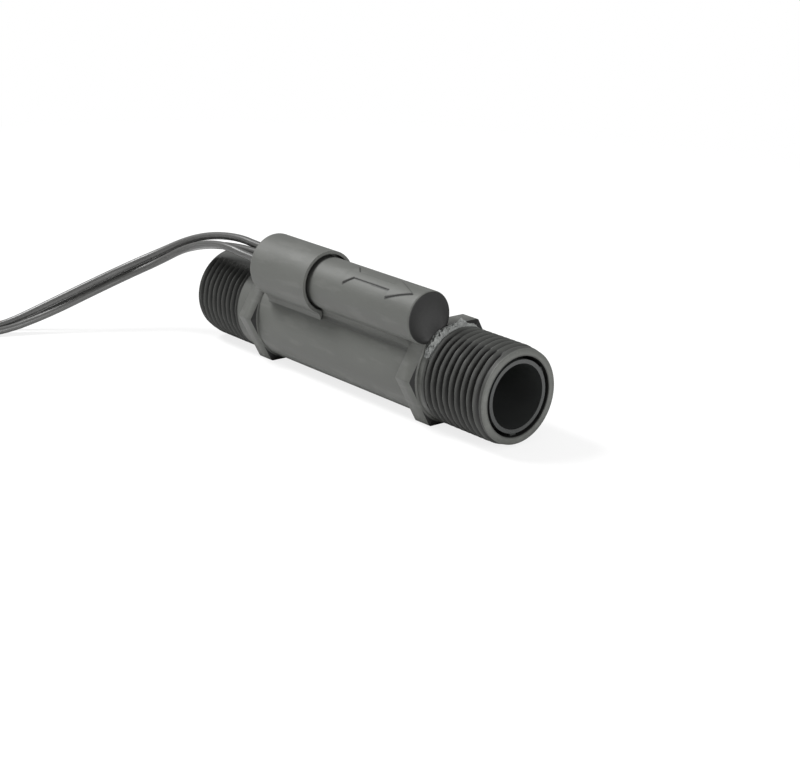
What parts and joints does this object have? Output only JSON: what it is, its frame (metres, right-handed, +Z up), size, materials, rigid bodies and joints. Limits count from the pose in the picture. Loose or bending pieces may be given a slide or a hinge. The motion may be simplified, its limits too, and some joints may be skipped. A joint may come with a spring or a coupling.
{
  "type": "paddle flow switch",
  "caption": "In-line paddle flow switch: dark moulded tube with male pipe threads and hexagons at both ends, a reed switch pod alongside and flying leads.",
  "frame": {"origin": "centre of the inlet end face, on the pipe axis", "axes": "+X along the pipe axis in the flow direction, +Z up with the switch lying on two hexagon flats"},
  "size_m": [0.1587, 0.098, 0.0311],
  "materials": {
    "moulded_plastic": "matte moulding",
    "sleeve_plastic": "satin moulding",
    "paddle_plastic": "satin moulding",
    "stainless": "drawn wire",
    "magnet": "sintered",
    "glass": "clear",
    "contact_metal": "plated",
    "board": "laminate",
    "tinned": "tinned",
    "potting": "cured resin",
    "lead_insulation": "extruded vinyl",
    "tie_plastic": "satin"
  },
  "bodies": {
    "switch_body": {"housing": "moulded_plastic", "pod_cover": "moulded_plastic", "outlet_sleeve": "sleeve_plastic", "paddle_carrier": "sleeve_plastic", "hinge_pin": "stainless", "return_spring": "stainless", "reed_glass": "glass", "common_blade": "contact_metal", "open_contact": "contact_metal", "closed_contact": "contact_metal", "reed_holder": "paddle_plastic", "circuit_board": "board", "board_pins": "contact_metal", "solder_joints": "tinned", "inner_leads": "lead_insulation", "potting": "potting", "common_lead": "lead_insulation", "open_lead": "lead_insulation", "closed_lead": "lead_insulation", "lead_coil": "lead_insulation", "coil_tie": "tie_plastic", "stripped_ends": "tinned"},
    "paddle_arm": {"paddle": "paddle_plastic", "magnet": "magnet", "magnet_plug": "paddle_plastic"}
  },
  "joints": [
    {"name": "paddle_swing", "type": "hinge", "parent": "switch_body", "child": "paddle_arm", "pos_m": [0.0574, -0.0031, 0.00537], "axis": [0, -0.866, -0.5], "range_deg": [0, 55], "stiffness_Nm_per_rad": 0.0004, "springref_deg": -20.05, "deforming": ["return_spring"]}
  ]
}
